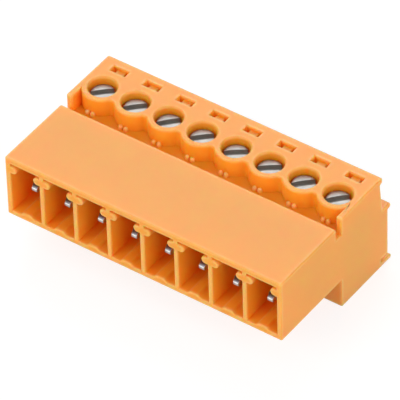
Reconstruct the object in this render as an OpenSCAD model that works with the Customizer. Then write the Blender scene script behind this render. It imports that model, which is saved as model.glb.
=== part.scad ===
// Pluggable terminal block with male pins in a shroud and a screw clamp behind each pin.
// Local frame of the drawing: y runs from the mating face to the wire entry, z is measured
// from the flat underside of the shroud, and x = 0 is the middle of the row of poles.

/* [Poles] */
// Number of poles
poles = 8; // [2:1:12]
// Distance from one pole to the next
pitch = 3.81; // [3.6:0.01:5.08]

/* [Shroud] */
// Depth of the shroud, from the mating face to its rear edge
shroud_depth = 8.84; // [8.6:0.01:11]
// Height of the shroud
shroud_h = 7.05; // [6.8:0.05:7.4]
// Thickness of the shroud's top wall
top_wall_t = 0.67; // [0.4:0.01:0.8]
// Thickness of the shroud's floor
floor_t = 0.55; // [0.4:0.01:0.8]
// Thickness of the two end walls
end_wall_t = 0.55; // [0.4:0.01:1]
// Thickness of the walls between the cells
divider_t = 0.48; // [0.4:0.01:0.7]
// Depth of the cells
cell_depth = 8; // [7.4:0.1:8.2]
// Length of the guide bar on the head of each wall, across the wall
guide_bar_l = 1.9; // [1.4:0.05:2.2]
// Height of the guide bar
guide_bar_h = 0.85; // [0.5:0.05:1]
// Gap between the guide bar and the top wall
guide_bar_gap = 0.3; // [0.1:0.05:0.4]
// Width of the low rib on each cell's floor
floor_rib_w = 1.5; // [1:0.1:2]
// Height of the low rib
floor_rib_h = 0.3; // [0.2:0.05:0.5]

/* [Clamp block] */
// Width of the open slot between the shroud and the clamp block
slot_w = 0.88; // [0.6:0.02:1]
// Height of the slot's floor, which is also the floor of the trough before the towers
trough_z = 5.7; // [5.5:0.05:5.9]
// Height of the clamp block's top face
block_h = 7.66; // [7.4:0.01:8.4]
// Depth that the clamp block reaches below the shroud
leg_h = 3.38; // [3.2:0.01:3.8]
// Depth of the clamp block, from its front to the rear face
block_depth = 7.6; // [7.3:0.01:9]
// Thickness of the clamp block's side walls
side_wall_t = 0.62; // [0.4:0.02:0.8]
// Outer radius of the screw towers
tower_r = 2.02; // [1.8:0.01:2.2]
// Radius of the round valley between two towers
valley_r = 0.5; // [0.3:0.05:0.8]
// Distance from the clamp block's front to the screw axes
screw_back = 2.75; // [2.5:0.01:2.9]
// Depth of the screwdriver hole, from the top face to the shoulder under the screw head
access_depth = 1.81; // [1.75:0.01:1.9]
// Radius of the screwdriver hole in each tower
access_r = 1.4; // [1.3:0.01:1.6]
// Chamfer at the rim of the screwdriver hole
access_chamfer = 0.12; // [0.05:0.01:0.2]
// Radius of the small nubs at the foot of each tower
nub_r = 0.24; // [0.15:0.01:0.3]
// Height of the nubs
nub_h = 0.45; // [0.3:0.05:0.6]
// Distance between the two nubs of a tower
nub_gap = 0.58; // [0.5:0.02:0.8]

/* [Rear face] */
// How far the lip along the top edge stands out over the face below it
top_lip_out = 0.38; // [0.2:0.02:0.5]
// Height of the top lip
top_lip_h = 0.5; // [0.3:0.05:0.8]
// How far the face under the top lip stands back from the rear face
upper_setback = 1.23; // [0.9:0.01:1.35]
// How far the upper face leans out on its way down to the ridge
upper_lean = 0.38; // [0.2:0.02:0.8]
// Height of the middle of the ridge over the wire entries
ridge_z = 3.33; // [3.3:0.01:3.6]
// Radius of the ridge's nose
ridge_r = 0.28; // [0.2:0.01:0.3]
// How far the ridge stands out of the rear face
ridge_out = 0.53; // [0.3:0.01:0.6]
// How far the lip under the wire entries stands out of the rear face
bottom_lip_out = 0.62; // [0.3:0.02:0.8]
// Radius of the bottom lip's nose
bottom_lip_r = 0.22; // [0.1:0.01:0.25]
// Height over which the bottom lip's slope runs
bottom_lip_slope_h = 0.5; // [0.3:0.05:0.8]
// Length of the pocket behind each screw
pocket_l = 1.74; // [1.4:0.02:2]
// Width of the pocket
pocket_w = 0.78; // [0.5:0.02:0.9]
// Depth of the pocket's middle
pocket_h = 0.4; // [0.3:0.05:0.6]
// Depth of the two wells at the pocket's ends
well_h = 1.3; // [0.8:0.1:1.8]
// Length of each well
well_l = 0.36; // [0.3:0.02:0.5]
// Distance from the top rear edge to the middle of the pockets
pocket_back = 1.3; // [1:0.01:1.4]

/* [Clamp chambers] */
// Thickness of the walls between the chambers
chamber_wall_t = 0.6; // [0.45:0.01:0.7]
// Thickness of the wall in front of the chambers
chamber_front_t = 0.58; // [0.5:0.01:0.7]
// Thickness of the floor under the chambers
chamber_floor_t = 0.6; // [0.4:0.02:0.7]
// Distance from the ridge down to the wire entry's upper edge
entry_below_ridge = 0.03; // [0.01:0.01:0.1]
// Thickness of the shoulder that carries the screw head
shoulder_t = 0.7; // [0.5:0.05:0.8]
// How far the mouth of each wire entry widens to each side
mouth_flare = 0.15; // [0.05:0.01:0.2]
// Depth of the widened mouth
mouth_depth = 0.6; // [0.3:0.05:1]

/* [Contact] */
// Side of the square contact pin, and thickness of the strip that it is bent from
pin_s = 0.76; // [0.6:0.02:0.8]
// Height of the pin's axis
pin_z = 3.13; // [3.1:0.01:3.3]
// Distance from the mating face back to the pin's tip
pin_recess = 1.33; // [1:0.01:2]
// Length of the pin's chamfered tip
pin_tip_l = 0.14; // [0.08:0.01:0.4]
// How far the chamfer at the tip goes in from each of the pin's sides
pin_tip_in = 0.07; // [0.04:0.01:0.2]
// Width of the current bar behind the pin
bar_w = 1.9; // [1.6:0.02:2]
// How far the strip's downward stretch is sunk into the wall in front of the chambers
drop_sink = 0.09; // [0.05:0.01:0.12]
// How far the current bar reaches past the screw axis
bar_past_screw = 2.34; // [2.1:0.01:2.6]
// Inner radius of the strip's two bends
bend_r = 0.12; // [0.08:0.01:0.12]

/* [Clamp yoke] */
// Depth of the yoke along the wire
yoke_depth = 3.4; // [3:0.05:3.6]
// Thickness of the threaded plate on top of the yoke
nut_t = 1.2; // [1:0.05:1.3]
// Height of the yoke's window
window_h = 3.75; // [3.6:0.01:3.8]
// Thickness of the yoke's legs
yoke_side_t = 0.45; // [0.4:0.01:0.46]
// Thickness of the plate under the wire
yoke_floor_t = 0.6; // [0.5:0.05:0.6]
// Outer radius of the yoke's lower corners
yoke_corner_r = 0.45; // [0.2:0.05:0.6]
// Gap between the yoke's floor and the current bar when the clamp is fully closed
closed_gap = 0.19; // [0.1:0.01:0.3]
// Gap between the yoke and the chamber's floor when the clamp is open
open_gap = 0.13; // [0.1:0.01:0.2]

/* [Clamp screw] */
// Nominal diameter of the screw's thread
screw_d = 2; // [1.8:0.1:2]
// Diameter of the screw head
head_d = 2.4; // [2.3:0.02:2.5]
// Height of the screw head
head_h = 1.1; // [0.9:0.05:1.3]
// Chamfer around the head and at the screw's tip
screw_chamfer = 0.12; // [0.05:0.01:0.2]
// Width of the screwdriver slot
slot_cut_w = 0.68; // [0.4:0.02:0.7]
// Depth of the screwdriver slot
slot_cut_h = 0.55; // [0.4:0.05:0.7]

/* [Clearances] */
// Radial clearance between the screw and the holes that it passes through
thread_clear = 0.05; // [0.02:0.01:0.08]
// Gap between the yoke and the walls and stops around it
yoke_clear = 0.1; // [0.06:0.01:0.12]
// Gap between the screw's flat faces and what they bear on
screw_gap = 0.06; // [0.04:0.01:0.1]
// Gap around the contact in its seat
contact_clear = 0.02; // [0.01:0.01:0.04]

/* [Hidden] */
pole_numbers = [1 : poles];
function names(stem) = [for (i = pole_numbers) str(stem, i)];
$fn = 48;

housing_colour = "darkorange";
contact_colour = "lightgray";
yoke_colour = "silver";
screw_colour = "gainsboro";

// Angle of each screw's slot from the x axis, as the screws happen to be left
slot_angles = [44, 45, 48, 44, 38, 38, 46, 48];

function pole_x(i) = (i - (poles + 1) / 2) * pitch;
cut = 0.5;          // how far a cutting tool reaches past the face that it opens
row_l = poles * pitch;
width = row_l - divider_t + 2 * end_wall_t;
block_y = shroud_depth + slot_w;
rear_y = block_y + block_depth;
depth = rear_y + bottom_lip_out;
upper_rear_y = rear_y - upper_setback;
lip_y = upper_rear_y + top_lip_out;
cell_w = pitch - divider_t;
cell_top_z = shroud_h - top_wall_t;
guide_bar_z = cell_top_z - guide_bar_gap - guide_bar_h / 2;
chamber_w = pitch - chamber_wall_t;
chamber_y = block_y + chamber_front_t;
chamber_floor_z = chamber_floor_t - leg_h;
entry_top_z = ridge_z - ridge_r - entry_below_ridge;
screw_y = block_y + screw_back;
shoulder_z = block_h - access_depth;
ceiling_z = shoulder_z - shoulder_t;
screw_hole_r = screw_d / 2 + thread_clear;
lift_depth = yoke_depth / 2 + 3 * yoke_clear;

yoke_w = chamber_w - 2 * yoke_clear;
window_w = yoke_w - 2 * yoke_side_t;
yoke_h = nut_t + window_h + yoke_floor_t;
yoke_top_z = chamber_floor_z + open_gap + yoke_h;      // at rest the clamp is open
closed_floor_z = ceiling_z - yoke_clear - nut_t - window_h;

drop_y = chamber_y - drop_sink - pin_s;
bar_top_z = closed_floor_z + closed_gap + pin_s;
bar_end_y = screw_y + bar_past_screw;
head_z = shoulder_z + screw_gap;
tip_z = bar_top_z + screw_gap;

// Points of an arc about c, from angle a to angle b
function arc(c, r, a, b, steps = 8) =
    [for (k = [0 : steps]) c + r * [cos(a + (b - a) * k / steps), sin(a + (b - a) * k / steps)]];

// Puts a drawing made in the local frame into the part's frame
module in_frame() translate([0, -depth / 2, leg_h]) children();

// Extrudes a side view, drawn as [y, z], over the width w
module across(w) translate([-w / 2, 0, 0]) rotate([90, 0, 90]) linear_extrude(w) children();

// Extrudes a front view, drawn as [x, z], from y0 over the length l
module along(y0, l) translate([0, y0 + l, 0]) rotate([90, 0, 0]) linear_extrude(l) children();

module box(x0, x1, y0, y1, z0, z1) translate([x0, y0, z0]) cube([x1 - x0, y1 - y0, z1 - z0]);

module at_poles() for (i = pole_numbers) translate([pole_x(i), 0, 0]) children();

// ---- Housing ----

// Side view of the whole moulding
module housing_profile() {
    ridge_y = rear_y + ridge_out - ridge_r;
    foot_y = depth - bottom_lip_r;
    foot_z = bottom_lip_r - leg_h;
    corner_r = 0.15;
    polygon(concat(
        [[0, 0], [0, shroud_h], [shroud_depth, shroud_h], [shroud_depth, trough_z],
         [block_y, trough_z], [block_y, block_h]],
        arc([lip_y - corner_r, block_h - corner_r], corner_r, 90, 0),
        [[lip_y, block_h - top_lip_h], [upper_rear_y, block_h - top_lip_h - top_lip_out / 2],
         [upper_rear_y + upper_lean, ridge_z + ridge_r]],
        arc([ridge_y, ridge_z], ridge_r, 90, -90),
        [[rear_y, ridge_z - ridge_r], [rear_y, foot_z + bottom_lip_r + bottom_lip_slope_h]],
        arc([foot_y, foot_z], bottom_lip_r, 45, -90),
        [[block_y, -leg_h], [block_y, 0]]));
}

// Top view of the towers, joined by round valleys
module crown_outline() {
    valley_y = screw_y - sqrt(pow(tower_r + valley_r, 2) - pow(pitch / 2, 2));
    at_poles() translate([0, screw_y]) circle(tower_r);
    for (i = [1 : poles - 1])
        difference() {
            polygon([[pole_x(i), screw_y], [pole_x(i) + pitch / 2, valley_y], [pole_x(i + 1), screw_y]]);
            translate([pole_x(i) + pitch / 2, valley_y]) circle(valley_r);
        }
}

// Room in front of the towers, between the side walls
module trough() {
    inner = width - 2 * side_wall_t;
    translate([0, 0, trough_z]) linear_extrude(block_h - trough_z + cut) difference() {
        translate([-inner / 2, shroud_depth]) square([inner, screw_y - shroud_depth]);
        crown_outline();
    }
}

// Two small round-headed nubs at the foot of a tower
module nubs() {
    for (side = [-1, 1])
        translate([side * nub_gap / 2, screw_y - tower_r - nub_r / 3, trough_z]) {
            cylinder(r = nub_r, h = nub_h - nub_r);
            translate([0, 0, nub_h - nub_r]) sphere(nub_r);
        }
}

// Guide bar on the head of a wall between two cells, with round ends
module guide_bar() {
    straight = guide_bar_l - guide_bar_h;
    along(0, cell_depth + cut) translate([0, guide_bar_z]) {
        square([straight, guide_bar_h], center = true);
        for (side = [-1, 1]) translate([side * straight / 2, 0]) circle(d = guide_bar_h);
    }
}

// All guide bars, cut off flush with the end walls
module guide_bars() {
    intersection() {
        for (i = [0 : poles]) translate([pole_x(i) + pitch / 2, 0, 0]) guide_bar();
        box(-width / 2, width / 2, 0, cell_depth + cut, 0, shroud_h);
    }
}

// Low rib with sloping sides on a cell's floor
module floor_rib() {
    along(0, cell_depth + cut) polygon([
        [-floor_rib_w / 2, floor_t - floor_rib_h / 2], [-floor_rib_w / 2, floor_t],
        [-floor_rib_w / 2 + floor_rib_h, floor_t + floor_rib_h],
        [floor_rib_w / 2 - floor_rib_h, floor_t + floor_rib_h],
        [floor_rib_w / 2, floor_t], [floor_rib_w / 2, floor_t - floor_rib_h / 2]]);
}

// Cell of the shroud, open at the mating face
module cell() box(-cell_w / 2, cell_w / 2, -cut, cell_depth, floor_t, cell_top_z);

// Hole for the pin, and the seat of the strip's downward stretch behind it
module contact_seat() {
    hole = pin_s / 2 + contact_clear;
    seat = bar_w / 2 + contact_clear;
    box(-hole, hole, cell_depth - cut, chamber_y, pin_z - hole, pin_z + hole);
    box(-seat, seat, drop_y - contact_clear, chamber_y + cut,
        bar_top_z - pin_s - contact_clear, pin_z + hole);
}

// Chamber of the yoke, open to the rear as the wire entry
module chamber() {
    half = chamber_w / 2;
    box(-half, half, chamber_y, depth + cut, chamber_floor_z, entry_top_z);
    box(-half, half, chamber_y, screw_y + lift_depth, chamber_floor_z, ceiling_z);
    translate([0, 0, chamber_floor_z]) linear_extrude(entry_top_z - chamber_floor_z) polygon([
        [-half, rear_y - mouth_depth], [-half - mouth_flare, rear_y], [-half - mouth_flare, depth + cut],
        [half + mouth_flare, depth + cut], [half + mouth_flare, rear_y], [half, rear_y - mouth_depth]]);
}

// Screwdriver hole with its rim, and the hole for the shank through the shoulder
module screw_hole() {
    translate([0, screw_y, 0]) {
        translate([0, 0, ceiling_z - cut]) cylinder(r = screw_hole_r, h = shoulder_t + 2 * cut);
        translate([0, 0, shoulder_z]) cylinder(r = access_r, h = block_h - shoulder_z + cut);
        translate([0, 0, block_h - access_chamfer])
            cylinder(r1 = access_r, r2 = access_r + access_chamfer + cut, h = access_chamfer + cut);
    }
}

// Pocket behind a screw, with a deeper well at each end
module pocket() {
    y0 = lip_y - pocket_back - pocket_w / 2;
    box(-pocket_l / 2, pocket_l / 2, y0, y0 + pocket_w, block_h - pocket_h, block_h + cut);
    for (x0 = [-pocket_l / 2, pocket_l / 2 - well_l])
        box(x0, x0 + well_l, y0, y0 + pocket_w, block_h - well_h, block_h + cut);
}

// Notch over the bottom lip at both ends of the rear face
module end_notches() {
    notch_w = 0.5;
    notch_l = 1.15;
    notch_over_lip = 0.06;
    notch_z = 2 * bottom_lip_r - leg_h + notch_over_lip;
    for (side = [-1, 1])
        translate([side * width / 2, 0, 0])
            box(-notch_w, notch_w, rear_y - notch_l, depth + cut, notch_z, notch_z + notch_w);
}

module housing() {
    color(housing_colour) in_frame() {
        difference() {
            across(width) housing_profile();
            trough();
            at_poles() {
                cell();
                contact_seat();
                chamber();
                screw_hole();
                pocket();
            }
            end_notches();
        }
        guide_bars();
        at_poles() {
            floor_rib();
            nubs();
        }
    }
}

// ---- Contact ----

// Side view of the contact: pin, downward stretch and current bar, bent from one strip
module contact_profile() {
    pin_bottom_z = pin_z - pin_s / 2;
    bar_bottom_z = bar_top_z - pin_s;
    tip = pin_s / 2 - pin_tip_in;
    upper_bend = [drop_y - bend_r, pin_bottom_z - bend_r];
    lower_bend = [drop_y + pin_s + bend_r, bar_top_z + bend_r];
    polygon(concat(
        [[pin_recess, pin_z - tip], [pin_recess, pin_z + tip], [pin_recess + pin_tip_l, pin_z + pin_s / 2]],
        arc(upper_bend, bend_r + pin_s, 90, 0),
        arc(lower_bend, bend_r, 180, 270),
        [[bar_end_y, bar_top_z], [bar_end_y, bar_bottom_z]],
        arc(lower_bend, bend_r + pin_s, 270, 180),
        arc(upper_bend, bend_r, 0, 90),
        [[pin_recess + pin_tip_l, pin_bottom_z]]));
}

// Top view of the contact: the pin is narrower than the bar
module contact_outline() {
    tip = pin_s / 2 - pin_tip_in;
    half = pin_s / 2;
    bar = bar_w / 2;
    polygon([[-tip, pin_recess], [-half, pin_recess + pin_tip_l], [-half, drop_y], [-bar, drop_y],
        [-bar, bar_end_y], [bar, bar_end_y], [bar, drop_y], [half, drop_y],
        [half, pin_recess + pin_tip_l], [tip, pin_recess]]);
}

module contact_pin(i) {
    color(contact_colour) in_frame() translate([pole_x(i), 0, 0]) intersection() {
        across(bar_w + cut) contact_profile();
        translate([0, 0, -cut]) linear_extrude(shroud_h) contact_outline();
    }
}

// ---- Clamp ----

// Front view of the yoke, from its top edge down
module yoke_frame() {
    inner_r = yoke_corner_r / 2;
    difference() {
        union() {
            translate([-yoke_w / 2, yoke_corner_r - yoke_h]) square([yoke_w, yoke_h - yoke_corner_r]);
            translate([yoke_corner_r - yoke_w / 2, -yoke_h]) square([yoke_w - 2 * yoke_corner_r, yoke_h]);
            for (side = [-1, 1])
                translate([side * (yoke_w / 2 - yoke_corner_r), yoke_corner_r - yoke_h]) circle(yoke_corner_r);
        }
        translate([-window_w / 2, inner_r - nut_t - window_h]) square([window_w, window_h - inner_r]);
        translate([inner_r - window_w / 2, -nut_t - window_h]) square([window_w - 2 * inner_r, window_h]);
        for (side = [-1, 1])
            translate([side * (window_w / 2 - inner_r), inner_r - nut_t - window_h]) circle(inner_r);
    }
}

module clamp_yoke(i) {
    color(yoke_colour) in_frame() translate([pole_x(i), 0, yoke_top_z]) difference() {
        along(screw_y - yoke_depth / 2, yoke_depth) yoke_frame();
        translate([0, screw_y, -nut_t - cut]) cylinder(r = screw_hole_r, h = nut_t + 2 * cut);
    }
}

module clamp_screw(i) {
    head_r = head_d / 2;
    shank_r = screw_d / 2;
    shank_l = head_z - tip_z;
    color(screw_colour) in_frame() translate([pole_x(i), screw_y, tip_z]) difference() {
        rotate_extrude() polygon([[0, 0], [shank_r - screw_chamfer, 0], [shank_r, screw_chamfer],
            [shank_r, shank_l], [head_r, shank_l], [head_r, shank_l + head_h - screw_chamfer],
            [head_r - screw_chamfer, shank_l + head_h], [0, shank_l + head_h]]);
        translate([0, 0, shank_l + head_h - slot_cut_h]) rotate(slot_angles[(i - 1) % len(slot_angles)])
            translate([-head_d, -slot_cut_w / 2, 0]) cube([2 * head_d, slot_cut_w, slot_cut_h + cut]);
    }
}

housing();
for (i = pole_numbers) {
    contact_pin(i);
    clamp_yoke(i);
    clamp_screw(i);
}
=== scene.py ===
import math

import bmesh
import bpy
from mathutils import Matrix, Vector


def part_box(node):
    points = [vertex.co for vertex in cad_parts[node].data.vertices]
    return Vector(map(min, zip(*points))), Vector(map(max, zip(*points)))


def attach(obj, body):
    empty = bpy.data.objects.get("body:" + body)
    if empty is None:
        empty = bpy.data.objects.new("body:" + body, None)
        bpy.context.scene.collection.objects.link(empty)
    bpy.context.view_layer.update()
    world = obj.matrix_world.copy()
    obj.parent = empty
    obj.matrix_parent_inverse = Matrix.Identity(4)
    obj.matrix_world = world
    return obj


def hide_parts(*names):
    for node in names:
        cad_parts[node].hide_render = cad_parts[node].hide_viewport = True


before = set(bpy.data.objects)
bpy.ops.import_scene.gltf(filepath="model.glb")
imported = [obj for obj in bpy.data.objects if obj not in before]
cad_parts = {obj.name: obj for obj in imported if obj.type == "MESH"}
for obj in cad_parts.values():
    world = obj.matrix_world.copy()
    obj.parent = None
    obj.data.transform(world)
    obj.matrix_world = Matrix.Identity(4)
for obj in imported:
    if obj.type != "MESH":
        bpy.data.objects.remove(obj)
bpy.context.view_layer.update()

# Meshes are shaped in millimetres, in the CAD's frame, and scaled to metres at the end.
MM = 0.001
POLES = range(1, 9)


def direction(turn, rise):
    """Unit vector from the part to what looks at it: turned from -Y towards +X, then raised"""
    flat = math.cos(rise)
    return Vector((math.sin(turn) * flat, -math.cos(turn) * flat, math.sin(rise)))


# ---- Camera ----
# A long lens half a metre away, turned a little about its own axis

CAMERA_TURN = math.radians(36.415)
CAMERA_RISE = math.radians(42.441)
CAMERA_ROLL = math.radians(-1.777)
CAMERA_DISTANCE = 495.26 * MM
CAMERA_ASIDE = (0.438 * MM, -0.695 * MM)        # to the right and upwards in the picture
CAMERA_TARGET = Vector((0, -0.47, 7.38)) * MM
SENSOR_WIDTH = 36.0
FOCAL_LENGTH = 481.22
CLIP_START = 0.01
CLIP_END = 20


def add_camera():
    back = direction(CAMERA_TURN, CAMERA_RISE)
    level = Vector((0, 0, 1)).cross(back).normalized()
    steep = back.cross(level)
    right = math.cos(CAMERA_ROLL) * level + math.sin(CAMERA_ROLL) * steep
    up = math.cos(CAMERA_ROLL) * steep - math.sin(CAMERA_ROLL) * level
    data = bpy.data.cameras.new("camera")
    data.sensor_width = SENSOR_WIDTH
    data.lens = FOCAL_LENGTH
    data.clip_start = CLIP_START
    data.clip_end = CLIP_END
    camera = bpy.data.objects.new("camera", data)
    place = (CAMERA_TARGET + CAMERA_ASIDE[0] * right + CAMERA_ASIDE[1] * up
             + CAMERA_DISTANCE * back)
    axes = Matrix((right, up, back)).transposed().to_4x4()
    camera.matrix_world = Matrix.Translation(place) @ axes
    bpy.context.scene.collection.objects.link(camera)
    bpy.context.scene.camera = camera


add_camera()

# ---- Materials ----

RAYS = 6                        # rays with which a shader looks for edges and thin places
EDGE_REACH = 0.05 * MM          # how far from an edge the metals get the painted highlight
PAINTED_EDGE_HIGHLIGHT = 0.5                      # how much of the lighter painted highlight colour shows there
THIN_REACH = 0.4 * MM           # walls thinner than this, and outward edges, get the painted highlight
PAINTED_HIGHLIGHT_SHARE = 0.95                # how much of the paler painted highlight shows there
CLEAR_EDGE = 0.75               # cosine from a face to its rounded normal at a clear edge
THIN_RANGE = (0.35, 0.95)       # openness inside the wall, from thin to thick
MIDDLE = (0.35, 0.7)            # middle of a noise's range
STAIN_ROUGHNESS = (-0.03, 0.05) # what the metals' stains add to their roughness

ORANGE = (0.990, 0.342, 0.020, 1)
ORANGE_PATCHES = (0.995, 0.365, 0.024, 1)       # broad and hardly seen
ORANGE_GRAIN = (0.97, 0.28, 0.016, 1)
ORANGE_PAINTED_HIGHLIGHT = (0.998, 0.65, 0.23, 1)            # painted highlight on thin walls and outward edges
ORANGE_IOR = 1.46
SCATTER = (1.0, 0.10, 0.035)                    # how far red, green and blue go inside
SCATTER_REACH = 1.2 * MM
SCREW_STEEL = (0.33, 0.325, 0.315, 1)
SCREW_DULL = (0.26, 0.257, 0.25, 1)
SCREW_ROUGHNESS = 0.42


class Nodes:
    """The emptied node tree of a material or world, to which nodes are added"""

    def __init__(self, owner):
        owner.use_nodes = True
        self.owner = owner
        self.tree = owner.node_tree
        self.tree.nodes.clear()

    def add(self, kind, inputs=(), **settings):
        """Makes a node; its inputs are values, or sockets of other nodes to link from"""
        node = self.tree.nodes.new(kind)
        for key, value in settings.items():
            setattr(node, key, value)
        for key, value in dict(inputs).items():
            if isinstance(value, bpy.types.NodeSocket):
                self.tree.links.new(value, node.inputs[key])
            else:
                node.inputs[key].default_value = value
        return node

    def math(self, operation, a, b):
        return self.add("ShaderNodeMath", {0: a, 1: b}, operation=operation).outputs[0]

    def vector(self, operation, a, b):
        return self.add("ShaderNodeVectorMath", {0: a, 1: b}, operation=operation).outputs[0]

    def millimetres(self):
        """Object coordinates in millimetres"""
        where = self.add("ShaderNodeTexCoord").outputs["Object"]
        return self.vector("MULTIPLY", where, (1 / MM,) * 3)

    def spread(self, value, low, high, at=(0.0, 1.0)):
        """value, mapped from the range at to the range from low to high"""
        return self.add("ShaderNodeMapRange", {
            "Value": value, "From Min": at[0], "From Max": at[1],
            "To Min": low, "To Max": high}).outputs[0]

    def noise(self, where, scale, detail, roughness=0.5):
        return self.add("ShaderNodeTexNoise", {
            "Vector": where, "Scale": scale, "Detail": detail,
            "Roughness": roughness}).outputs["Fac"]

    def mix(self, factor, a, b):
        """Colour a where factor is 0, and b where it is 1"""
        return self.add("ShaderNodeMix", {0: factor, 6: a, 7: b},
                        data_type="RGBA", clamp_factor=True).outputs[2]

    def bump(self, height, distance, strength, normal=None):
        inputs = {"Height": height, "Distance": distance, "Strength": strength}
        if normal:
            inputs["Normal"] = normal
        return self.add("ShaderNodeBump", inputs).outputs[0]

    def edge(self):
        """1 on an edge or in a corner, 0 on a flat face"""
        rounded = self.add("ShaderNodeBevel", {"Radius": EDGE_REACH}, samples=RAYS).outputs[0]
        true = self.add("ShaderNodeNewGeometry").outputs["Normal"]
        cosine = self.add("ShaderNodeVectorMath", {0: rounded, 1: true},
                          operation="DOT_PRODUCT").outputs["Value"]
        return self.spread(cosine, 1.0, 0.0, (CLEAR_EDGE, 1.0))

    def thin(self):
        """1 where the wall is thin or at an outward edge, 0 where it is thick"""
        inside = self.add("ShaderNodeAmbientOcclusion", {"Distance": THIN_REACH},
                          inside=True, only_local=True, samples=RAYS).outputs["AO"]
        return self.spread(inside, 1.0, 0.0, THIN_RANGE)

    def shown(self):
        """1 for rays that show a thing or its reflection, 0 for those that light other things"""
        path = self.add("ShaderNodeLightPath").outputs
        seen = self.math("MAXIMUM", path["Is Camera Ray"], path["Is Glossy Ray"])
        return self.math("MAXIMUM", seen, path["Is Transmission Ray"])

    def surface(self, inputs):
        shader = self.add("ShaderNodeBsdfPrincipled", inputs)
        self.add("ShaderNodeOutputMaterial", {"Surface": shader.outputs[0]})
        return self.owner


def brighter(colour, times):
    return [min(1.0, times * part) for part in colour[:3]] + [1]


def plastic():
    """Orange moulding that lets light through, with a fine eroded texture and a paler painted
    highlight on thin walls and outward edges
    """
    m = Nodes(bpy.data.materials.new("orange_moulding"))
    where = m.millimetres()
    broad = m.noise(where, scale=0.22, detail=3.0)
    grain = m.noise(where, scale=14.0, detail=3.0, roughness=0.6)
    fine = m.noise(where, scale=34.0, detail=2.0, roughness=0.6)
    colour = m.mix(m.spread(broad, 0.0, 1.0, at=(0.3, 0.7)), ORANGE, ORANGE_PATCHES)
    colour = m.mix(m.spread(grain, 0.0, 0.12, at=(0.55, 0.8)), colour, ORANGE_GRAIN)
    # painted highlight: paler orange where the wall is thin and at outward edges
    colour = m.mix(m.math("MULTIPLY", m.thin(), PAINTED_HIGHLIGHT_SHARE), colour, ORANGE_PAINTED_HIGHLIGHT)
    roughness = m.math("ADD", m.spread(broad, 0.30, 0.36), m.spread(grain, -0.04, 0.05))
    normal = m.bump(grain, distance=0.008 * MM, strength=0.6)
    normal = m.bump(fine, distance=0.004 * MM, strength=0.6, normal=normal)
    return m.surface({
        "Base Color": colour, "Roughness": roughness, "Normal": normal, "IOR": ORANGE_IOR,
        "Subsurface Weight": 1.0, "Subsurface Radius": SCATTER,
        "Subsurface Scale": SCATTER_REACH})


def metal(name, colour, dull, roughness, line_scale):
    """Plated metal with slight stains, a painted highlight on edges and in corners, and fine lines,
    which run along the axis whose factor in line_scale is small"""
    m = Nodes(bpy.data.materials.new(name))
    where = m.millimetres()
    lines = m.vector("MULTIPLY", where, line_scale)
    brushed = m.noise(lines, scale=6.0, detail=4.0, roughness=0.7)
    stains = m.noise(where, scale=1.3, detail=3.0)
    tone = m.mix(m.spread(stains, 0.0, 0.7, MIDDLE), colour, dull)
    # painted highlight: lighter colour on edges and in corners
    tone = m.mix(m.math("MULTIPLY", m.edge(), PAINTED_EDGE_HIGHLIGHT), tone, brighter(colour, 1.15))
    rough = m.math("ADD", m.spread(brushed, roughness - 0.07, roughness + 0.09),
                   m.spread(stains, *STAIN_ROUGHNESS))
    return m.surface({"Base Color": tone, "Metallic": 1.0, "Roughness": rough,
                      "Normal": m.bump(brushed, distance=0.003 * MM, strength=0.5)})


def turned_metal(name, centre):
    """The screws' metal, with the rings of a lathe tool round the vertical axis through centre"""
    m = Nodes(bpy.data.materials.new(name))
    where = m.millimetres()
    flat = m.vector("MULTIPLY", m.vector("SUBTRACT", where, (*centre, 0)), (1, 1, 0))
    radius = m.add("ShaderNodeVectorMath", {0: flat}, operation="LENGTH").outputs["Value"]
    across = m.add("ShaderNodeCombineXYZ", {"X": radius}).outputs[0]
    rings = m.noise(across, scale=9.0, detail=4.0, roughness=0.75)
    stains = m.noise(where, scale=1.6, detail=3.0)
    tone = m.mix(m.spread(stains, 0.0, 0.8, MIDDLE), SCREW_STEEL, SCREW_DULL)
    # painted highlight: lighter steel on edges and in corners
    tone = m.mix(m.math("MULTIPLY", m.edge(), PAINTED_EDGE_HIGHLIGHT), tone, brighter(SCREW_STEEL, 1.3))
    rough = m.math("ADD", m.spread(rings, SCREW_ROUGHNESS - 0.08, SCREW_ROUGHNESS + 0.08),
                   m.spread(stains, *STAIN_ROUGHNESS))
    return m.surface({"Base Color": tone, "Metallic": 1.0, "Roughness": rough,
                      "Normal": m.bump(rings, distance=0.012 * MM, strength=0.8)})


orange = plastic()
tinned = metal("tinned_bronze", colour=(0.50, 0.49, 0.475, 1), dull=(0.36, 0.355, 0.35, 1),
               roughness=0.30, line_scale=(1, 0.08, 1))
# darker, bluish grey metal on the slope of the pins' tips
dark_tip = metal("dark_tip_end", colour=(0.20, 0.21, 0.23, 1), dull=(0.13, 0.13, 0.14, 1),
                roughness=0.42, line_scale=(1, 1, 0.1))
plated = metal("plated_steel", colour=(0.55, 0.55, 0.53, 1), dull=(0.40, 0.40, 0.39, 1),
               roughness=0.36, line_scale=(1, 0.1, 1))
dull_steel = metal("slot_steel", colour=(0.42, 0.415, 0.39, 1), dull=(0.31, 0.30, 0.285, 1),
                   roughness=0.5, line_scale=(1, 1, 1))

# ---- Tools for meshes ----

SAME_PLACE = 0.001                      # vertices closer than this are joined
SAME_PLANE = math.radians(0.3)          # faces that meet at less than this are joined
SHARP = 35                              # edges of more than this angle, in degrees, are rounded
CREASE = math.radians(50)               # edges of more than this angle stay sharp in the shading
EVEN_WEIGHT = 90                        # how far large faces lead the shading of their corners
TINY = 1e-6


def new_object(bm, name):
    """Makes an object of a mesh, and frees the mesh that it came from"""
    mesh = bpy.data.meshes.new(name)
    bm.to_mesh(mesh)
    bm.free()
    item = bpy.data.objects.new(name, mesh)
    bpy.context.scene.collection.objects.link(item)
    return item


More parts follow.
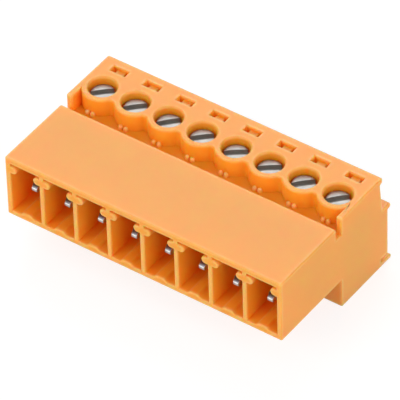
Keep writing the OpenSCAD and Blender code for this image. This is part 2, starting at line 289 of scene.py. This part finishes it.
def discard(*items):
    for item in items:
        mesh = item.data
        bpy.data.objects.remove(item)
        bpy.data.meshes.remove(mesh)


def modified(item):
    """The mesh of an object as its modifiers leave it"""
    bm = bmesh.new()
    bm.from_mesh(item.evaluated_get(bpy.context.evaluated_depsgraph_get()).to_mesh())
    return bm


def crease(bm):
    for edge in bm.edges:
        edge.smooth = edge.calc_face_angle(0.0) < CREASE


def make_piece(bm, name, materials, body, node):
    """Makes a piece from a mesh in millimetres. It stands for a CAD node."""
    bm.transform(Matrix.Scale(MM, 4))
    piece = new_object(bm, name)
    for material in materials:
        piece.data.materials.append(material)
    piece.data.polygons.foreach_set("use_smooth", [True] * len(piece.data.polygons))
    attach(piece, body)
    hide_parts(node)
    modifier = piece.modifiers.new("even_shading", "WEIGHTED_NORMAL")
    modifier.keep_sharp = True
    modifier.weight = EVEN_WEIGHT


def clean_copy(node):
    """A CAD node's surface in millimetres, with the facets of each flat face joined"""
    bm = bmesh.new()
    bm.from_mesh(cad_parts[node].data)
    bm.transform(Matrix.Scale(1 / MM, 4))
    bmesh.ops.remove_doubles(bm, verts=bm.verts, dist=SAME_PLACE)
    bmesh.ops.dissolve_limit(bm, angle_limit=SAME_PLANE, verts=bm.verts, edges=bm.edges)
    bmesh.ops.connect_verts_concave(bm, faces=bm.faces)
    return bm


def round_edges(bm, radius, steps, sharp=SHARP):
    """Rounds all edges of more than sharp degrees"""
    limit = math.radians(sharp)
    edges = [edge for edge in bm.edges if edge.calc_face_angle(0.0) > limit]
    bmesh.ops.bevel(bm, geom=edges, offset=radius, offset_type="OFFSET", segments=steps,
                    profile=0.5, affect="EDGES", clamp_overlap=False, loop_slide=False)
    crease(bm)


def widths(bm):
    """For each face, the rough width of the smooth surface that it belongs to"""
    bm.faces.index_update()
    limit = math.radians(SHARP)
    width = [0.0] * len(bm.faces)
    seen = [False] * len(bm.faces)
    for start in bm.faces:
        if seen[start.index]:
            continue
        seen[start.index] = True
        group, queue, border = [], [start], 0.0
        while queue:
            face = queue.pop()
            group.append(face)
            for edge in face.edges:
                if edge.calc_face_angle(math.pi) > limit:
                    border += edge.calc_length()
                    continue
                for other in edge.link_faces:
                    if not seen[other.index]:
                        seen[other.index] = True
                        queue.append(other)
        span = 2 * sum(face.calc_area() for face in group) / max(border, TINY)
        for face in group:
            width[face.index] = span
    return width


def soften(bm, most, share, steps):
    """Rounds the outward edges, by most, or by a share of a narrower surface beside the edge"""
    width = widths(bm)
    weight = bm.edges.layers.float.new("bevel_weight_edge")
    for edge in bm.edges:
        if edge.is_convex and edge.calc_face_angle(0.0) > math.radians(SHARP):
            narrow = min(width[face.index] for face in edge.link_faces)
            edge[weight] = min(1.0, share * narrow / most)
    item = new_object(bm, "soft")
    modifier = item.modifiers.new("soft", "BEVEL")
    modifier.width = most
    modifier.segments = steps
    modifier.limit_method = "WEIGHT"
    modifier.use_clamp_overlap = False
    modifier.loop_slide = False
    result = modified(item)
    discard(item)
    crease(result)
    return result


# ---- Screws ----

HEAD_R = 1.2
HEAD_H = 1.1
HEAD_FOOT = 0.03                                    # chamfer under the head
HEAD_RIM = 0.12                                     # radius of the head's rounded rim
HEAD_CROWN = 0.05                                   # rise of the domed face above the rim
RIM_ARC = math.radians(78)                          # where the rim runs out into the dome
RIM_STEPS = 4
DOME_RINGS = (0.85, 0.7, 0.5, 0.3, 0.12)            # the dome's rings, as shares of its radius
HEAD_SHARP = 40                                     # edges of more than this angle are rounded
HEAD_ROUND = 0.03
SLOT_W = 0.68
SLOT_H = 0.55
SLOT_TURNS = (44, 45, 48, 44, 38, 38, 46, 48)       # each slot's angle from the row, in degrees
BLADE_L = 4 * HEAD_R                                # the cutter is longer than the head is wide
SHANK_IN_HEAD = 0.02                                # how far the shank reaches into the head
SHANK_CHAMFER = 0.12
THREAD_R = 1.0
THREAD_DEPTH = 0.19
THREAD_PITCH = 0.4
THREAD_CREST = 1.25                                 # over 1, the crest of the thread is flat
THREAD_STEPS = 8                                    # rings in one turn of the thread
RUN_IN = 0.35                                       # the thread fades out towards the tip
RUN_OUT = 0.5                                       # and towards the head
ROUND = 48                                          # steps round the screw


def ring(bm, radius_at, z, centre):
    """Ring of vertices round a vertical axis; radius_at gives the radius at an angle"""
    turns = [2 * math.pi * k / ROUND for k in range(ROUND)]
    return [bm.verts.new((centre[0] + radius_at(a) * math.cos(a),
                          centre[1] + radius_at(a) * math.sin(a), z)) for a in turns]


def close(bm, rings):
    """Makes the rings, from the lowest up, into a closed solid"""
    for lower, upper in zip(rings, rings[1:]):
        for k in range(ROUND):
            j = (k + 1) % ROUND
            bm.faces.new((lower[k], lower[j], upper[j], upper[k]))
    bm.faces.new(rings[-1])
    bm.faces.new(tuple(reversed(rings[0])))


def turned_head(centre, top):
    """Screw head with a slightly domed face and a rounded rim"""
    bottom = top - HEAD_H
    rim_z = top - HEAD_CROWN - HEAD_RIM
    profile = [(HEAD_R - HEAD_FOOT, bottom), (HEAD_R, bottom + HEAD_FOOT), (HEAD_R, rim_z)]
    for k in range(1, RIM_STEPS + 1):
        a = RIM_ARC * k / RIM_STEPS
        profile.append((HEAD_R - HEAD_RIM + HEAD_RIM * math.cos(a), rim_z + HEAD_RIM * math.sin(a)))
    dome_r, dome_z = profile[-1]
    for share in DOME_RINGS:
        profile.append((dome_r * share, dome_z + (top - dome_z) * (1 - share * share)))
    bm = bmesh.new()
    close(bm, [ring(bm, lambda a, r=r: r, z, centre) for r, z in profile])
    return bm


def threaded_shank(centre, low, high):
    """Shank with a helical thread that runs out at both ends"""
    bm = bmesh.new()
    count = int((high - low) / THREAD_PITCH * THREAD_STEPS)
    rings = []
    for row in range(count + 1):
        z = low + (high - low) * row / count
        fade = min(1.0, (z - low) / RUN_IN, (high - z) / RUN_OUT)
        core = THREAD_R - max(0.0, SHANK_CHAMFER - (z - low)) - THREAD_DEPTH

        def radius(a, z=z, fade=fade, core=core):
            phase = (z / THREAD_PITCH - a / (2 * math.pi)) % 1.0
            ridge = min(1.0, THREAD_CREST * abs(2 * phase - 1))
            return core + THREAD_DEPTH * max(0.0, ridge * fade)

        rings.append(ring(bm, radius, z, centre))
    close(bm, rings)
    return bm


def cut_slot(bm, centre, top, turn, materials):
    """Cuts the screwdriver slot out of a head. The slot's faces take the second material."""
    blade = bmesh.new()
    bmesh.ops.create_cube(blade, size=1.0)
    blade.transform(Matrix.Translation((*centre, top))
                    @ Matrix.Rotation(math.radians(turn), 4, "Z")
                    @ Matrix.Diagonal((BLADE_L, SLOT_W, 2 * SLOT_H, 1)))
    for face in blade.faces:
        face.material_index = 1
    head = new_object(bm, "head")
    cutter = new_object(blade, "blade")
    for item in (head, cutter):
        for material in materials:
            item.data.materials.append(material)
    modifier = head.modifiers.new("slot", "BOOLEAN")
    modifier.operation = "DIFFERENCE"
    modifier.solver = "EXACT"
    modifier.object = cutter
    result = modified(head)
    discard(head, cutter)
    return result


def add_screw(pole):
    lo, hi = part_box(f"clamp_screw_{pole}")
    lo, hi = lo / MM, hi / MM
    centre = ((lo.x + hi.x) / 2, (lo.y + hi.y) / 2)
    materials = (turned_metal(f"turned_steel_{pole}", centre), dull_steel)
    bm = cut_slot(turned_head(centre, hi.z), centre, hi.z, SLOT_TURNS[pole - 1], materials)
    round_edges(bm, HEAD_ROUND, steps=2, sharp=HEAD_SHARP)
    shank = new_object(threaded_shank(centre, lo.z, hi.z - HEAD_H + SHANK_IN_HEAD), "shank")
    bm.from_mesh(shank.data)
    discard(shank)
    make_piece(bm, f"screw_turned_{pole}", materials,
               f"screw_{pole}", f"clamp_screw_{pole}")


# ---- Housing, contacts and yokes ----

HOUSING_ROUND = 0.15            # rounding of the housing's edges
HOUSING_SHARE = 0.3             # or this share of a narrow surface's width
METAL_ROUND = 0.06              # rounding of the contacts' and yokes' edges
PIN_TIP_L = 0.14                # length of the chamfer round the pin's tip in the CAD
PIN_SLOPE_L = 0.3               # how far the slope on top reaches further back
AT_TIP = 0.01                   # vertices this close to the foremost one are at the tip


def shape_tip(bm):
    """Gives the pin's tip a long slope on top, which takes the second, darker material"""
    tip_y = min(vert.co.y for vert in bm.verts)
    tip = [vert for vert in bm.verts if vert.co.y < tip_y + AT_TIP]
    middle_z = sum(vert.co.z for vert in tip) / len(tip)
    slope = []
    for vert in bm.verts:
        if vert.co.z > middle_z and vert.co.y < tip_y + 2 * PIN_TIP_L:
            slope.append(vert)
            if vert in tip:
                vert.co.z = middle_z
            else:
                vert.co.y += PIN_SLOPE_L
    for face in bm.faces:
        if all(vert in slope for vert in face.verts):
            face.material_index = 1


def add_contact(pole):
    bm = clean_copy(f"contact_pin_{pole}")
    shape_tip(bm)
    round_edges(bm, METAL_ROUND, steps=3)
    make_piece(bm, f"contact_{pole}", (tinned, dark_tip),
               "housing", f"contact_pin_{pole}")


def add_yoke(pole):
    bm = clean_copy(f"clamp_yoke_{pole}")
    round_edges(bm, METAL_ROUND, steps=2)
    make_piece(bm, f"yoke_frame_{pole}", (plated,),
               f"yoke_{pole}", f"clamp_yoke_{pole}")


make_piece(soften(clean_copy("housing"), HOUSING_ROUND, HOUSING_SHARE, steps=3),
           "housing_moulding", (orange,), "housing", "housing")
for pole in POLES:
    add_contact(pole)
    add_yoke(pole)
    add_screw(pole)

# ---- Floor and light ----

FLOOR_SIZE = 4
FLOOR_LIGHTING = (0.86, 0.86, 0.86, 1)      # the floor, as it lights the part
FLOOR_SHOWN = (0.26, 0.26, 0.26, 1)         # the floor that is seen keeps the shadow
FLOOR_LIFT = 0.80                           # and is lifted to white
WORLD_COLOUR = (0.8, 0.8, 0.8, 1)
WORLD_LIGHTING = 0.40                       # the world's level, as it lights the part
WORLD_SHOWN = 1.0                           # and as it is seen
LAMP_DISTANCE = 0.9
LAMPS = {                                   # turn and rise in degrees, size in metres, watts
    "key": (-25, 28, 0.6, 3.9),
    "fill": (75, 25, 0.7, 4.0),
    "back": (216, 44, 0.6, 3.0),
    "top": (-20, 80, 0.6, 0.5),
}


def add_floor():
    bpy.ops.mesh.primitive_plane_add(size=FLOOR_SIZE, location=(0, 0, 0))
    floor = bpy.context.object
    floor.name = "floor"
    m = Nodes(bpy.data.materials.new("white_floor"))
    lit = m.add("ShaderNodeBsdfDiffuse", {"Color": FLOOR_LIGHTING})
    paper = m.add("ShaderNodeBsdfDiffuse", {"Color": FLOOR_SHOWN})
    lift = m.add("ShaderNodeEmission", {"Color": (1, 1, 1, 1), "Strength": FLOOR_LIFT})
    both = m.add("ShaderNodeAddShader", {0: paper.outputs[0], 1: lift.outputs[0]})
    either = m.add("ShaderNodeMixShader", {0: m.shown(), 1: lit.outputs[0], 2: both.outputs[0]})
    m.add("ShaderNodeOutputMaterial", {"Surface": either.outputs[0]})
    floor.data.materials.append(m.owner)


def add_world():
    world = bpy.data.worlds.new("studio")
    bpy.context.scene.world = world
    w = Nodes(world)
    strength = w.spread(w.shown(), WORLD_LIGHTING, WORLD_SHOWN)
    sky = w.add("ShaderNodeBackground", {"Color": WORLD_COLOUR, "Strength": strength})
    w.add("ShaderNodeOutputWorld", {"Surface": sky.outputs[0]})


def add_lamp(name, turn, rise, size, power):
    """Square soft box that faces the part"""
    back = direction(math.radians(turn), math.radians(rise))
    data = bpy.data.lights.new(name, "AREA")
    data.size = size
    data.energy = power
    lamp = bpy.data.objects.new(name, data)
    lamp.location = back * LAMP_DISTANCE
    lamp.rotation_mode = "QUATERNION"
    lamp.rotation_quaternion = back.to_track_quat("Z", "Y")
    bpy.context.scene.collection.objects.link(lamp)


add_floor()
add_world()
for name, settings in LAMPS.items():
    add_lamp(name, *settings)

bpy.context.scene.view_settings.view_transform = "Standard"
